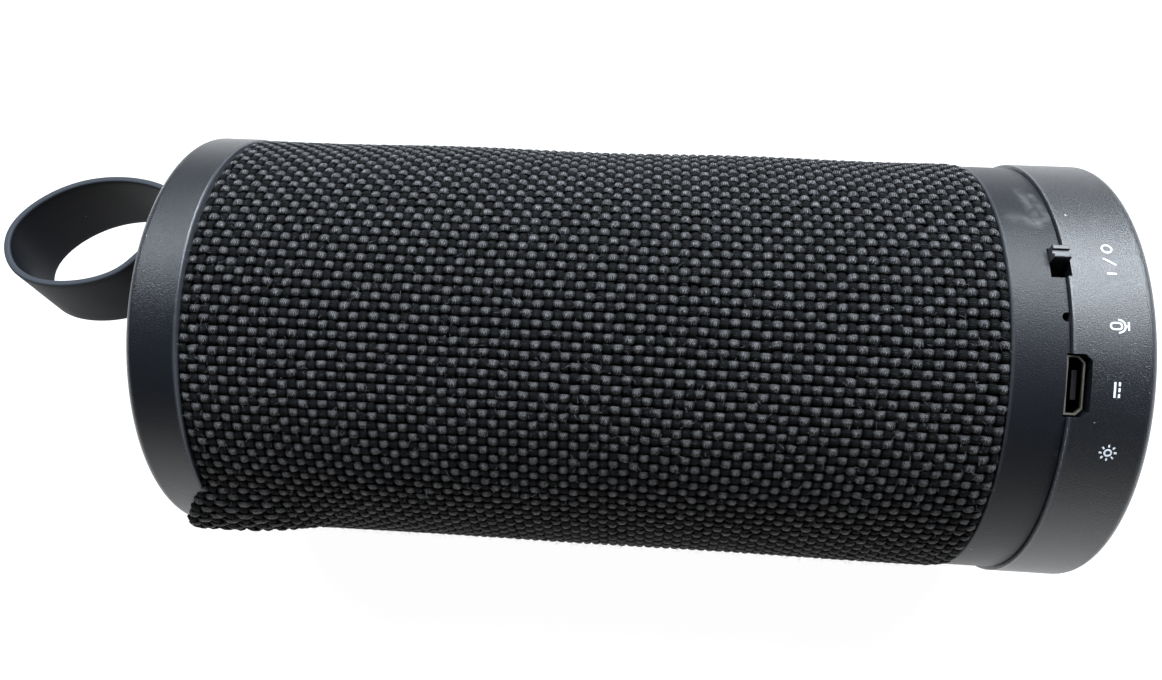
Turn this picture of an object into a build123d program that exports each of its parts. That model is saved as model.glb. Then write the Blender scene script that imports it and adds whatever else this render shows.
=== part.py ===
"""Portable bluetooth speaker, lying on its side: the axis runs along +X, +Z is up.

The origin is on the surface it lies on, at the middle of its length with the wrist strap
included. The strap end is at -X and the control end, with the sockets, at +X.
Everything is in millimetres.
"""

from math import cos, degrees, radians, sin, sqrt
import os

from build123d import *

# ---- Driving dimensions: outside ----
body_radius = 32.0           # both end caps
fabric_length = 110.5        # visible length of the woven sleeve
left_cap_length = 7.5
port_ring_length = 7.3
control_cap_length = 10.8
ring_step = 0.5              # the port ring is this much smaller in radius than the cap
fabric_step = 0.3            # and the sleeve is this much smaller than the caps
reveal = 0.12                # open joint between port ring and control cap
edge_gap = 0.15              # sleeve edge to the plastic beside it
rim_fillet = 1.3
edge_fillet = 0.35
parting_fillet = 0.12
panel_fillet = 0.3

# ---- Driving dimensions: shells ----
fabric_thickness = 1.1
tube_wall = 1.5
cap_wall = 2.0
spigot_wall = 1.6
web_thickness = 1.9          # flat wall across each cap
bulkhead_thickness = 2.0
seat_depth = 3.45            # how far the tube enters each end
trim_thickness = 1.05        # glued trim discs
left_trim_recess = 0.9
left_trim_lip = 1.4          # each disc stops this far inside the cap's wall
panel_recess = 1.0
panel_lip = 1.2
control_web_thickness = 1.5
fit = 0.1                    # between fixed pieces
slip = 0.05                  # running clearance of what slides
glue = 0.02                  # film under a part that is laid on another

# ---- Driving dimensions: wrist strap ----
strap_width = 14.0
strap_thickness = 1.1
strap_reach = 40.0           # from the end face to the tip of the loop
strap_slot_inset = 14.5      # from the rim to the slot's middle
strap_far_rise = 7.45        # far leg's bow, away from the slot
strap_near_drop = 13.55      # near leg's bow, the other way
strap_end_thickness = 3.8
strap_end_length = 3.3
clamp_ear = 5.2
clamp_half_height = 3.2
clamp_depth = 4.95

# ---- Driving dimensions: sockets and controls ----
board_thickness = 1.2
usb_width, usb_height, usb_depth = 7.6, 2.3, 5.0
usb_wall = 0.2
usb_chamfer = 0.8
usb_recess = 0.8             # mouth below the cap's surface
usb_setback = 0.7            # socket's middle past the parting
usb_cut_margin = 0.3         # opening round the shell, but on the cap's side
usb_cap_margin = 0.6
socket_clearance = 0.6       # from the spigot to what is soldered behind it
usb_place = 15.1             # places are round the cap's surface from its top, towards -Y
mic_place = 6.15
led_place = 24.35
switch_place = -1.6
notch_radius = 0.6
notch_inset = 0.35           # notch's middle back from the ring's end
switch_slot_length = 1.9     # along the body, in the ring
switch_cap_notch = 0.5       # and in the cap
switch_body_width, switch_body_depth = 8.6, 3.7
switch_knob_width = 1.9      # round the body
switch_knob_length = 2.2     # along the body
switch_travel = 2.0
switch_knob_height = 0.9     # above the surface
knob_groove = 0.35
button_radius = 5.5
button_pitch = 14.5
button_flange = 0.9
button_height = 0.6          # above the panel
button_travel = 0.4
key_names = ("minus", "play", "plus")

# ---- Driving dimensions: sound ----
driver_size = 34.0           # square flange
driver_flange = 1.2
driver_gap = 4.5             # between a driver and the radiator, for the baffle's screws
driver_bore = 14.4
driver_depth = 15.0
cone_radius = 11.6
coil_radius = 5.4
coil_wall = 0.3
magnet_radius = 8.2
magnet_height = 5.0
cone_travel = 1.0
baffle_thickness = 2.0
radiator_width = 34.0
radiator_rim = 2.0
radiator_roll = 3.5
gasket_thickness = 0.5

# ---- Driving dimensions: battery and fasteners ----
cell_radius, cell_length = 9.2, 65.2
cell_clearance = 0.15
cell_floor = 1.2
cell_terminal = 1.2
foam_thickness, foam_length = 0.85, 14.0
screw_radius, screw_head_radius, screw_head_height = 1.1, 2.0, 1.2
small_screw_radius, small_head_radius, small_head_height = 0.9, 1.6, 1.0
screw_recess = 0.6           # cross in a screw's head
screw_cross = (2.4, 0.5)
boss_radius = 2.7
left_screw_length = 9.5
left_boss_height = 9.0
screw_circle = 11.0          # from the rim to the screws of both caps
left_screw_angles = (80.0, 140.0, 205.0)
right_screw_angles = (50.0, -50.0, 180.0)

# ---- Stations along the body, from the left end face ----
fabric_start = left_cap_length
fabric_end = fabric_start + fabric_length
parting = fabric_end + port_ring_length
body_length = parting + control_cap_length
left_face_x = -(body_length + strap_reach) / 2 + strap_reach
axis_height = body_radius

# ---- Radii that follow ----
fabric_outer = body_radius - fabric_step
fabric_inner = fabric_outer - fabric_thickness
tube_outer = fabric_inner - fit
tube_inner = tube_outer - tube_wall
ring_outer = body_radius - ring_step
cap_inner = body_radius - cap_wall
spigot_outer = cap_inner - fit
spigot_inner = spigot_outer - spigot_wall
seat_radius = tube_outer + fit
board_radius = spigot_inner - fit
left_trim_radius = cap_inner - left_trim_lip
panel_seat = cap_inner - panel_lip
screw_place = body_radius - screw_circle
usb_angle, mic_angle, led_angle, switch_angle = (
    degrees(place / body_radius) for place in (usb_place, mic_place, led_place, switch_place)
)

tube_start = left_cap_length - seat_depth
tube_end = fabric_end + seat_depth - 1.05
web_start = tube_start - fit - web_thickness
inside_start = tube_start + bulkhead_thickness
inside_end = tube_end - bulkhead_thickness
inside_length = inside_end - inside_start
middle = (inside_start + inside_end) / 2

port_station = parting + usb_setback
board_start = port_station + usb_height / 2 + fit
board_end = board_start + board_thickness
panel_front = body_length - panel_recess
panel_back = panel_front - trim_thickness
control_web_front = panel_back - slip
control_web_back = control_web_front - control_web_thickness
flange_front = control_web_back - fit
flange_back = flange_front - button_flange

turn_axis = Axis((0, 0, axis_height), (1, 0, 0))
# Section plane through the axis: local x is the station, local y the radius.
section = Plane(origin=(left_face_x, 0, axis_height), x_dir=(1, 0, 0), z_dir=(0, -1, 0))


def station(along):
    """Plane across the body: local x is +Y, local y is +Z, measured from the axis."""
    return Plane(origin=(left_face_x + along, 0, axis_height), x_dir=(0, 1, 0), z_dir=(1, 0, 0))


def outward(along, angle, radius):
    """Plane facing out of the body's side: local x goes round the body, local y is +X."""
    a = radians(angle)
    place = (left_face_x + along, -radius * sin(a), axis_height + radius * cos(a))
    return Plane(origin=place, x_dir=(0, -cos(a), -sin(a)), z_dir=(0, -sin(a), cos(a)))


def level(height):
    """Horizontal plane at a height above the axis: local x is the station."""
    return Plane(origin=(left_face_x, 0, axis_height + height), x_dir=(1, 0, 0), z_dir=(0, 0, 1))


def around(angle, radius):
    """A point in a station plane, by angle from straight up."""
    return (-radius * sin(radians(angle)), radius * cos(radians(angle)))


def band(start, end, inner, outer):
    """Rectangle in the section plane, from one station and radius to another."""
    with Locations((start, inner)):
        Rectangle(end - start, outer - inner, align=(Align.MIN, Align.MIN))


def circle_edges(part, along, radius):
    """Round edges of a part at a station and radius."""
    x = left_face_x + along
    rounds = part.edges().filter_by(GeomType.CIRCLE)
    return rounds.filter_by(lambda e: abs(e.radius - radius) < 0.01 and abs(e.arc_center.X - x) < 0.01)


def save(part, name):
    """Label a finished piece and write it."""
    part.label = name
    export_step(part, f"parts/{name}.step")


os.makedirs("parts", exist_ok=True)

# ---- Left end cap: a shallow cup that holds the tube's end, with a slot for the strap ----
slot_place = body_radius - strap_slot_inset
slot_width = strap_width + 6 * fit
slot_height = 2 * strap_thickness + 5 * fit
clamp_screw_place = strap_width / 2 + clamp_ear / 2
left_screws = [around(angle, screw_place) for angle in left_screw_angles]

with BuildPart() as left_end_cap:
    with BuildSketch(section):
        band(0, left_cap_length - edge_gap, seat_radius, body_radius)
        band(0, web_start + web_thickness, left_trim_radius, seat_radius)
        band(web_start, web_start + web_thickness, 0, left_trim_radius)
    revolve(axis=turn_axis)
    fillet(circle_edges(left_end_cap, 0, body_radius), rim_fillet)
    fillet(circle_edges(left_end_cap, left_cap_length - edge_gap, body_radius), edge_fillet)
    with BuildSketch(station(web_start - 1)):
        with Locations((slot_place, 0)):
            Rectangle(slot_height, slot_width)
    extrude(amount=web_thickness + 2, mode=Mode.SUBTRACT)
    with BuildSketch(station(web_start - 1)):
        with Locations(*left_screws):
            Circle(screw_radius + fit)
    extrude(amount=web_thickness + 2, mode=Mode.SUBTRACT)
    with BuildSketch(station(web_start)):
        with Locations(*left_screws):
            Circle(screw_head_radius + fit)
    extrude(amount=screw_head_height + slip, mode=Mode.SUBTRACT)
    with BuildSketch(station(web_start + web_thickness)):
        with Locations((slot_place, clamp_screw_place), (slot_place, -clamp_screw_place)):
            Circle(small_screw_radius + slip)
    extrude(amount=-1.5, mode=Mode.SUBTRACT)
save(left_end_cap.part, "left_end_cap")

with BuildPart() as left_trim_disc:
    with BuildSketch(station(left_trim_recess)):
        Circle(left_trim_radius - fit)
        with Locations((slot_place, 0)):
            Rectangle(slot_height + 6 * fit, slot_width + 6 * fit, mode=Mode.SUBTRACT)
    extrude(amount=web_start - left_trim_recess - slip)
    fillet(circle_edges(left_trim_disc, left_trim_recess, left_trim_radius - fit), panel_fillet)
save(left_trim_disc.part, "left_trim_disc")

with BuildPart() as left_cap_screws:
    with BuildSketch(station(web_start + glue)):
        with Locations(*left_screws):
            Circle(screw_head_radius)
    extrude(amount=screw_head_height)
    with BuildSketch(station(web_start + glue)):
        with Locations(*left_screws):
            Circle(screw_radius)
    extrude(amount=left_screw_length)
    with BuildSketch(station(web_start + glue)):
        with Locations(*left_screws):
            Rectangle(*screw_cross)
            Rectangle(*screw_cross, rotation=90)
    extrude(amount=screw_recess, mode=Mode.SUBTRACT)
save(left_cap_screws.part, "left_cap_screws")

# ---- Wrist strap: one flat band bent into a loop, both ends side by side in the slot ----
leg = strap_thickness / 2 + slip
strap_start = web_start + web_thickness + 0.35

with BuildPart() as strap:
    with BuildSketch(Plane(origin=(left_face_x, slot_place, axis_height - strap_width / 2))):
        with BuildLine():
            loop = Spline(
                (-left_trim_recess + 2.0, leg),
                (-0.39 * strap_reach, 0.86 * strap_far_rise),
                (-0.6 * strap_reach, strap_far_rise),
                (-0.865 * strap_reach, 0.48 * strap_far_rise),
                (-strap_reach + strap_thickness / 2, -0.32 * strap_near_drop),
                (-0.915 * strap_reach, -0.79 * strap_near_drop),
                (-0.72 * strap_reach, -strap_near_drop),
                (-0.465 * strap_reach, -0.8 * strap_near_drop),
                (-left_trim_recess + 2.0, -leg),
                tangents=((-1, 0), (1, 0)),
            )
            Line(loop @ 0, (strap_start + 0.5, leg))
            Line(loop @ 1, (strap_start + 0.5, -leg))
        trace(line_width=strap_thickness)
        with Locations((strap_start, 0)):
            Rectangle(strap_end_length, strap_end_thickness, align=(Align.MIN, Align.CENTER))
    extrude(amount=strap_width)
save(strap.part, "strap")

clamp_start = web_start + web_thickness + slip
clamp_holes = [(slot_place, clamp_screw_place), (slot_place, -clamp_screw_place)]
with BuildPart() as strap_clamp:
    with BuildSketch(station(clamp_start)):
        with Locations((slot_place, 0)):
            RectangleRounded(2 * clamp_half_height, strap_width + 2 * clamp_ear, 1.5)
        with Locations(*clamp_holes):
            Circle(small_screw_radius + fit, mode=Mode.SUBTRACT)
    extrude(amount=clamp_depth)
    with BuildSketch(station(clamp_start)):
        with Locations((slot_place, 0)):
            Rectangle(strap_end_thickness + 0.3, strap_width + 0.3)
    extrude(amount=strap_end_length + 0.5, mode=Mode.SUBTRACT)
save(strap_clamp.part, "strap_clamp")

with BuildPart() as strap_screws:
    with BuildSketch(station(clamp_start + clamp_depth)):
        with Locations(*clamp_holes):
            Circle(small_head_radius)
    extrude(amount=small_head_height)
    with BuildSketch(station(clamp_start + clamp_depth)):
        with Locations(*clamp_holes):
            Circle(small_screw_radius)
    extrude(amount=-clamp_depth - 1.3)
save(strap_screws.part, "strap_screws")

# ---- Sleeve and the tube under it: a tub, a flat baffle and a slotted cover, stacked ----
with BuildPart() as fabric_sleeve:
    with BuildSketch(section):
        band(fabric_start + edge_gap, fabric_end - edge_gap, fabric_inner, fabric_outer)
    revolve(axis=turn_axis)
save(fabric_sleeve.part, "fabric_sleeve")

baffle_top = sqrt(tube_inner ** 2 - (driver_size / 2 + 1) ** 2) - driver_flange - gasket_thickness
baffle_bottom = baffle_top - baffle_thickness
baffle_half_width = sqrt(tube_outer ** 2 - baffle_top ** 2) - 0.3
baffle_length = inside_length - 2 * fit
cell_height = -(tube_inner - cell_floor - cell_radius)
radiator_length = inside_length - 2 * (driver_size + driver_gap) - 1.0
driver_offset = inside_length / 2 - driver_size / 2 - 0.5
driver_stations = {"left": middle - driver_offset, "right": middle + driver_offset}
baffle_screw_half = driver_size / 2 - 2
baffle_screw_stations = (
    middle - (radiator_length + driver_gap) / 2, middle + (radiator_length + driver_gap) / 2
)
baffle_screws_at = [(along, side * baffle_screw_half) for along in baffle_screw_stations for side in (-1, 1)]

with BuildPart() as acoustic_tub:
    with BuildSketch(station(tube_start)):
        Circle(tube_outer)
        Circle(tube_inner, mode=Mode.SUBTRACT)
        with Locations((0, baffle_bottom)):
            Rectangle(3 * body_radius, 2 * body_radius, align=(Align.CENTER, Align.MIN), mode=Mode.SUBTRACT)
    extrude(amount=tube_end - tube_start)
    for rib in (-0.36, 0, 0.36):
        with BuildSketch(station(middle + rib * cell_length - 0.8)):
            Circle(tube_inner + 0.2)
            with Locations((0, cell_height)):
                Circle(cell_radius + cell_clearance, mode=Mode.SUBTRACT)
                Rectangle(3 * body_radius, 2 * body_radius, align=(Align.CENTER, Align.MIN), mode=Mode.SUBTRACT)
        extrude(amount=1.6)
    with BuildSketch(level(baffle_bottom)):
        with Locations(*baffle_screws_at):
            Circle(boss_radius)
    extrude(amount=-7)
    for along in baffle_screw_stations:
        with BuildSketch(station(along - 1)):
            Circle(tube_inner + 0.2)
            with Locations((0, baffle_bottom)):
                Rectangle(2 * body_radius, 7, align=(Align.CENTER, Align.MAX), mode=Mode.INTERSECT)
            with Locations((0, baffle_bottom)):
                Rectangle(2 * baffle_screw_half, 16, mode=Mode.SUBTRACT)
        extrude(amount=2)
    with BuildSketch(level(baffle_bottom)):
        with Locations(*baffle_screws_at):
            Circle(small_screw_radius + slip)
    extrude(amount=-6, mode=Mode.SUBTRACT)
save(acoustic_tub.part, "acoustic_tub")

with BuildPart() as baffle_plate:
    with BuildSketch(level(baffle_bottom + glue)):
        with Locations((middle, 0)):
            Rectangle(baffle_length, 2 * baffle_half_width)
        for along in driver_stations.values():
            with Locations((along, 0)):
                Circle(driver_bore + 1.3, mode=Mode.SUBTRACT)
        with Locations((middle, 0)):
            RectangleRounded(
                radiator_length - 2 * radiator_rim, radiator_width - 2 * radiator_rim, 3, mode=Mode.SUBTRACT
            )
        with Locations(*baffle_screws_at):
            Circle(small_screw_radius + fit, mode=Mode.SUBTRACT)
    extrude(amount=baffle_thickness - 2 * glue)
save(baffle_plate.part, "baffle_plate")

with BuildPart() as baffle_screws:
    with BuildSketch(level(baffle_top)):
        with Locations(*baffle_screws_at):
            Circle(small_head_radius)
    extrude(amount=small_head_height)
    with BuildSketch(level(baffle_top)):
        with Locations(*baffle_screws_at):
            Circle(small_screw_radius)
    extrude(amount=-baffle_thickness - 5)
save(baffle_screws.part, "baffle_screws")

slot_rows = 4
slot_row_angle = 15.0
slot_count = int(inside_length // 8)
with BuildPart() as grille_cover:
    with BuildSketch(station(tube_start)):
        Circle(tube_outer)
        Circle(tube_inner, mode=Mode.SUBTRACT)
        with Locations((0, baffle_top)):
            Rectangle(3 * body_radius, 4 * body_radius, align=(Align.CENTER, Align.MAX), mode=Mode.SUBTRACT)
    extrude(amount=tube_end - tube_start)
    for row in range(slot_rows):
        angle = (row - (slot_rows - 1) / 2) * slot_row_angle
        with BuildSketch(outward(middle, angle, tube_inner - 1)):
            with GridLocations(1, inside_length / slot_count, 1, slot_count - 1):
                SlotOverall(5.4, 2.6)
        extrude(amount=tube_wall + 2, mode=Mode.SUBTRACT)
save(grille_cover.part, "grille_cover")

# ---- Bulkheads close the tube's ends and carry the caps' screws ----
pocket_wall = 1.2
pocket_depth = clamp_start + clamp_depth + small_head_height + 0.4 - tube_start
pocket_size = (2 * clamp_half_height + 0.6, strap_width + 2 * clamp_ear + 0.6)
with BuildPart() as left_bulkhead:
    with BuildSketch(station(tube_start)):
        Circle(tube_inner - slip)
    extrude(amount=bulkhead_thickness)
    with BuildSketch(station(tube_start)):
        with Locations(*left_screws):
            Circle(boss_radius)
    extrude(amount=left_boss_height)
    with BuildSketch(station(tube_start)):
        with Locations((slot_place, 0)):
            RectangleRounded(pocket_size[0] + 2 * pocket_wall, pocket_size[1] + 2 * pocket_wall, 2)
    extrude(amount=pocket_depth + pocket_wall)
    with BuildSketch(station(tube_start)):
        with Locations((slot_place, 0)):
            RectangleRounded(pocket_size[0], pocket_size[1], 1)
    extrude(amount=pocket_depth, mode=Mode.SUBTRACT)
    with BuildSketch(station(tube_start)):
        with Locations(*left_screws):
            Circle(screw_radius + slip)
    extrude(amount=left_boss_height - 1, mode=Mode.SUBTRACT)
save(left_bulkhead.part, "left_bulkhead")

right_screws = [around(angle, screw_place) for angle in right_screw_angles]
with BuildPart() as right_bulkhead:
    with BuildSketch(station(inside_end)):
        Circle(tube_inner - slip)
    extrude(amount=bulkhead_thickness)
    with BuildSketch(station(inside_end)):
        with Locations(*right_screws):
            Circle(boss_radius)
    extrude(amount=board_start - slip - inside_end)
    with BuildSketch(station(board_start)):
        with Locations(*right_screws):
            Circle(screw_radius + slip)
    extrude(amount=-(board_start - inside_end) + 0.6, mode=Mode.SUBTRACT)
save(right_bulkhead.part, "right_bulkhead")

# ---- Port ring: a lip over the tube's end and a spigot inside the control cap ----
switch_station = parting + reveal / 2 + switch_cap_notch - fit - switch_knob_length / 2
switch_slot_width = switch_knob_width + switch_travel + 10 * slip
switch_recess_width = switch_knob_width + switch_travel + 4 * slip
switch_bottom = spigot_inner - socket_clearance - switch_body_depth
ring_shoulder = tube_end + fit
notch_station = parting - reveal / 2 - notch_inset


def shell_corners(side_margin, ring_margin, cap_margin):
    """Corners of the plug socket, grown by its margins: flat towards the ring, cornered beyond."""
    half = usb_width / 2 + side_margin
    low, high = -usb_height / 2 - ring_margin, usb_height / 2 + cap_margin
    return [
        (-half, low), (half, low), (half, high - usb_chamfer), (half - usb_chamfer, high),
        (usb_chamfer - half, high), (-half, high - usb_chamfer),
    ]


# The opening for the plug, cut out of both the ring and the cap.
with BuildPart() as usb_opening:
    with BuildSketch(outward(port_station, usb_angle, spigot_inner - cap_wall)):
        with BuildLine():
            Polyline(*shell_corners(usb_cut_margin, slip, usb_cap_margin), close=True)
        make_face()
    extrude(amount=3 * cap_wall + spigot_wall)

with BuildPart() as port_ring:
    with BuildSketch(section):
        band(fabric_end, ring_shoulder, seat_radius, ring_outer)
        band(ring_shoulder, parting - reveal / 2, spigot_inner, ring_outer)
        band(parting - reveal / 2, board_start - 0.1, spigot_inner, spigot_outer)
    revolve(axis=turn_axis)
    fillet(circle_edges(port_ring, fabric_end, ring_outer), edge_fillet)
    fillet(circle_edges(port_ring, parting - reveal / 2, ring_outer), parting_fillet)
    add(usb_opening.part, mode=Mode.SUBTRACT)
    with BuildSketch(outward(parting - switch_slot_length, switch_angle, spigot_inner - 1)):
        slot_to_end = switch_slot_length + board_start - parting
        Rectangle(switch_slot_width, slot_to_end, align=(Align.CENTER, Align.MIN))
    extrude(amount=2 * cap_wall + 1, mode=Mode.SUBTRACT)
    for angle in (mic_angle, led_angle):
        with BuildSketch(outward(notch_station, angle, spigot_inner - 1)):
            Circle(notch_radius)
            with Locations((0, notch_inset)):
                Rectangle(2 * notch_radius, notch_inset, align=(Align.CENTER, Align.MAX))
        extrude(amount=2 * cap_wall + 1, mode=Mode.SUBTRACT)
save(port_ring.part, "port_ring")

# ---- Control cap: a cup with the trim panel sunk in its end ----
cap_start = parting + reveal / 2
button_places = {name: ((i - 1) * button_pitch, 0) for i, name in enumerate(key_names)}
with BuildPart() as control_cap:
    with BuildSketch(section):
        band(cap_start, body_length, cap_inner, body_radius)
        band(control_web_back, body_length, panel_seat, cap_inner)
        band(control_web_back, control_web_front, 0, panel_seat)
    revolve(axis=turn_axis)
    with BuildSketch(station(board_end + slip)):
        with Locations(*right_screws):
            Circle(boss_radius)
    extrude(amount=control_web_back - board_end)
    fillet(circle_edges(control_cap, body_length, body_radius), rim_fillet)
    fillet(circle_edges(control_cap, cap_start, body_radius), parting_fillet)
    add(usb_opening.part, mode=Mode.SUBTRACT)
    with BuildSketch(outward(cap_start, switch_angle, cap_inner - 1)):
        Rectangle(switch_slot_width, 2 * switch_cap_notch)
    extrude(amount=2 * cap_wall, mode=Mode.SUBTRACT)
    with BuildSketch(station(control_web_front)):
        with Locations(*button_places.values()):
            Circle(button_radius + slip)
    extrude(amount=-control_web_thickness - fit, mode=Mode.SUBTRACT)
    with BuildSketch(station(control_web_front)):
        with Locations(*right_screws):
            Circle(screw_head_radius + fit)
    extrude(amount=-screw_head_height - slip, mode=Mode.SUBTRACT)
    with BuildSketch(station(control_web_front)):
        with Locations(*right_screws):
            Circle(screw_radius + fit)
    extrude(amount=board_end - control_web_front, mode=Mode.SUBTRACT)
save(control_cap.part, "control_cap")

with BuildPart() as control_panel:
    with BuildSketch(station(panel_back)):
        Circle(panel_seat - fit)
        with Locations(*button_places.values()):
            Circle(button_radius + slip, mode=Mode.SUBTRACT)
    extrude(amount=trim_thickness)
    fillet(circle_edges(control_panel, panel_front, panel_seat - fit), panel_fillet)
save(control_panel.part, "control_panel")

with BuildPart() as control_cap_screws:
    with BuildSketch(station(control_web_front - glue)):
        with Locations(*right_screws):
            Circle(screw_head_radius)
    extrude(amount=-screw_head_height)
    with BuildSketch(station(control_web_front - glue)):
        with Locations(*right_screws):
            Circle(screw_radius)
    extrude(amount=-(control_web_front - inside_end) + 1.0)
    with BuildSketch(station(control_web_front - glue)):
        with Locations(*right_screws):
            Rectangle(*screw_cross)
            Rectangle(*screw_cross, rotation=90)
    extrude(amount=-screw_recess, mode=Mode.SUBTRACT)
save(control_cap_screws.part, "control_cap_screws")

# ---- Push buttons, each over the stem of a key switch on the board ----
key_body_size, key_body_height = 5.2, 1.6
stem_radius = 1.6
stem_back = board_end + 0.9
button_fillet = 0.4
for name, place in button_places.items():
    with BuildPart() as button:
        with BuildSketch(station(flange_back)):
            with Locations(place):
                Circle(button_radius + 0.8)
        extrude(amount=button_flange)
        with BuildSketch(station(flange_back)):
            with Locations(place):
                Circle(button_radius)
        extrude(amount=panel_front + button_height - flange_back)
        fillet(circle_edges(button, panel_front + button_height, button_radius), button_fillet)
    save(button.part, f"{name}_button")

    with BuildPart() as key_stem:
        with BuildSketch(station(stem_back)):
            with Locations(place):
                Circle(stem_radius)
        extrude(amount=flange_back - stem_back)
    save(key_stem.part, f"{name}_key_stem")

with BuildPart() as key_switches:
    with BuildSketch(station(board_end)):
        with Locations(*button_places.values()):
            Rectangle(key_body_size, key_body_size)
    extrude(amount=key_body_height)
    with BuildSketch(station(stem_back - button_travel - slip)):
        with Locations(*button_places.values()):
            Circle(stem_radius + slip)
    extrude(amount=key_body_height, mode=Mode.SUBTRACT)
save(key_switches.part, "key_switches")

# ---- Circuit board and what is soldered to it ----
with BuildPart() as main_board:
    with BuildSketch(station(board_start)):
        Circle(board_radius)
        with Locations(*right_screws):
            Circle(screw_radius + fit, mode=Mode.SUBTRACT)
    extrude(amount=board_thickness)
save(main_board.part, "main_board")

usb_mouth = body_radius - usb_recess
with BuildPart() as usb_shell:
    with BuildSketch(outward(port_station, usb_angle, usb_mouth - usb_depth)):
        with BuildLine():
            Polyline(*shell_corners(0, 0, 0), close=True)
        make_face()
    extrude(amount=usb_depth)
    mouth = usb_shell.faces().sort_by(Axis((0, 0, 0), outward(0, usb_angle, 0).z_dir)).last
    offset(amount=-usb_wall, openings=mouth, kind=Kind.INTERSECTION)
save(usb_shell.part, "usb_shell")

tongue_foot = usb_mouth - usb_depth + usb_wall + slip
tongue_base, tongue_short = 0.8, 0.9
tongue_width, tongue_thickness, tongue_offset = 3.8, 0.65, 0.25
with BuildPart() as usb_tongue:
    with BuildSketch(outward(port_station, usb_angle, tongue_foot)):
        Rectangle(usb_width - 2 * usb_wall - 2 * usb_chamfer, usb_height - 2 * usb_wall - fit)
    extrude(amount=tongue_base)
    with BuildSketch(outward(port_station, usb_angle, tongue_foot)):
        with Locations((0, tongue_offset)):
            Rectangle(tongue_width, tongue_thickness)
    extrude(amount=usb_depth - usb_wall - tongue_short)
save(usb_tongue.part, "usb_tongue")

switch_floor = 1.0
with BuildPart() as switch_body:
    with BuildSketch(outward(switch_station, switch_angle, switch_bottom)):
        Rectangle(switch_body_width, 2 * (board_start - slip - switch_station))
    extrude(amount=switch_body_depth)
    with BuildSketch(outward(switch_station, switch_angle, switch_bottom + switch_floor)):
        Rectangle(switch_recess_width, switch_knob_length + 2 * slip)
    extrude(amount=switch_body_depth, mode=Mode.SUBTRACT)
save(switch_body.part, "switch_body")

knob_foot = switch_bottom + switch_floor + slip
knob_top = body_radius + switch_knob_height
with BuildPart() as switch_knob:
    with BuildSketch(outward(switch_station, switch_angle, knob_foot)):
        with Locations((-switch_travel / 2, 0)):
            Rectangle(switch_knob_width, switch_knob_length)
    extrude(amount=knob_top - knob_foot)
    tip = switch_knob.faces().sort_by(Axis.Z).last
    fillet(tip.edges(), knob_groove / 2)
    with BuildSketch(outward(switch_station, switch_angle, knob_top)):
        with Locations((-switch_travel / 2, 0)):
            Rectangle(2 * knob_groove, switch_knob_length)
    extrude(amount=-knob_groove, mode=Mode.SUBTRACT)
save(switch_knob.part, "switch_knob")

# ---- Microphone and light, each behind its notch, and the clear pipe over the light ----
behind_ring = spigot_inner - socket_clearance
mic_radius, mic_depth, mic_hole_radius = 1.5, 1.6, 0.4
with BuildPart() as microphone:
    with BuildSketch(outward(notch_station, mic_angle, behind_ring - mic_depth)):
        Circle(mic_radius)
    extrude(amount=mic_depth)
    with BuildSketch(outward(notch_station, mic_angle, behind_ring)):
        Circle(mic_hole_radius)
    extrude(amount=-mic_depth / 3, mode=Mode.SUBTRACT)
save(microphone.part, "microphone")

led_width, led_depth = 1.6, 1.2
with BuildPart() as status_led:
    with BuildSketch(outward(notch_station, led_angle, behind_ring - led_depth)):
        Rectangle(led_width, led_width)
    extrude(amount=led_depth)
save(status_led.part, "status_led")

led_pipe_recess = 0.35
with BuildPart() as led_light_pipe:
    with BuildSketch(outward(notch_station, led_angle, behind_ring + slip)):
        Circle(notch_radius - slip)
        with Locations((0, notch_inset - slip)):
            Rectangle(
                2 * notch_radius, notch_radius, align=(Align.CENTER, Align.MIN), mode=Mode.SUBTRACT
            )
    extrude(amount=ring_outer - behind_ring - led_pipe_recess)
save(led_light_pipe.part, "led_light_pipe")

chip_height = 1.2
with BuildPart() as board_chips:
    with BuildSketch(station(board_start)):
        with Locations((-6, -4)):
            Rectangle(7, 7)
        with Locations((7, 3)):
            Rectangle(5, 6)
        with Locations((4, -11)):
            Rectangle(4, 3)
    extrude(amount=-chip_height)
save(board_chips.part, "board_chips")

# ---- Drivers: flange, basket, magnet, cone with its coil former, dust cap and roll surround ----
driver_base = baffle_top + gasket_thickness
driver_hole = driver_size / 2 - 2.6


def driver_section(along):
    """Section plane of a driver: local x is the radius, local y is up from its flange."""
    origin = (left_face_x + along, 0, axis_height + driver_base)
    return Plane(origin=origin, x_dir=(1, 0, 0), z_dir=(0, -1, 0))


def driver_axis(along):
    return Axis((left_face_x + along, 0, 0), (0, 0, 1))


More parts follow.
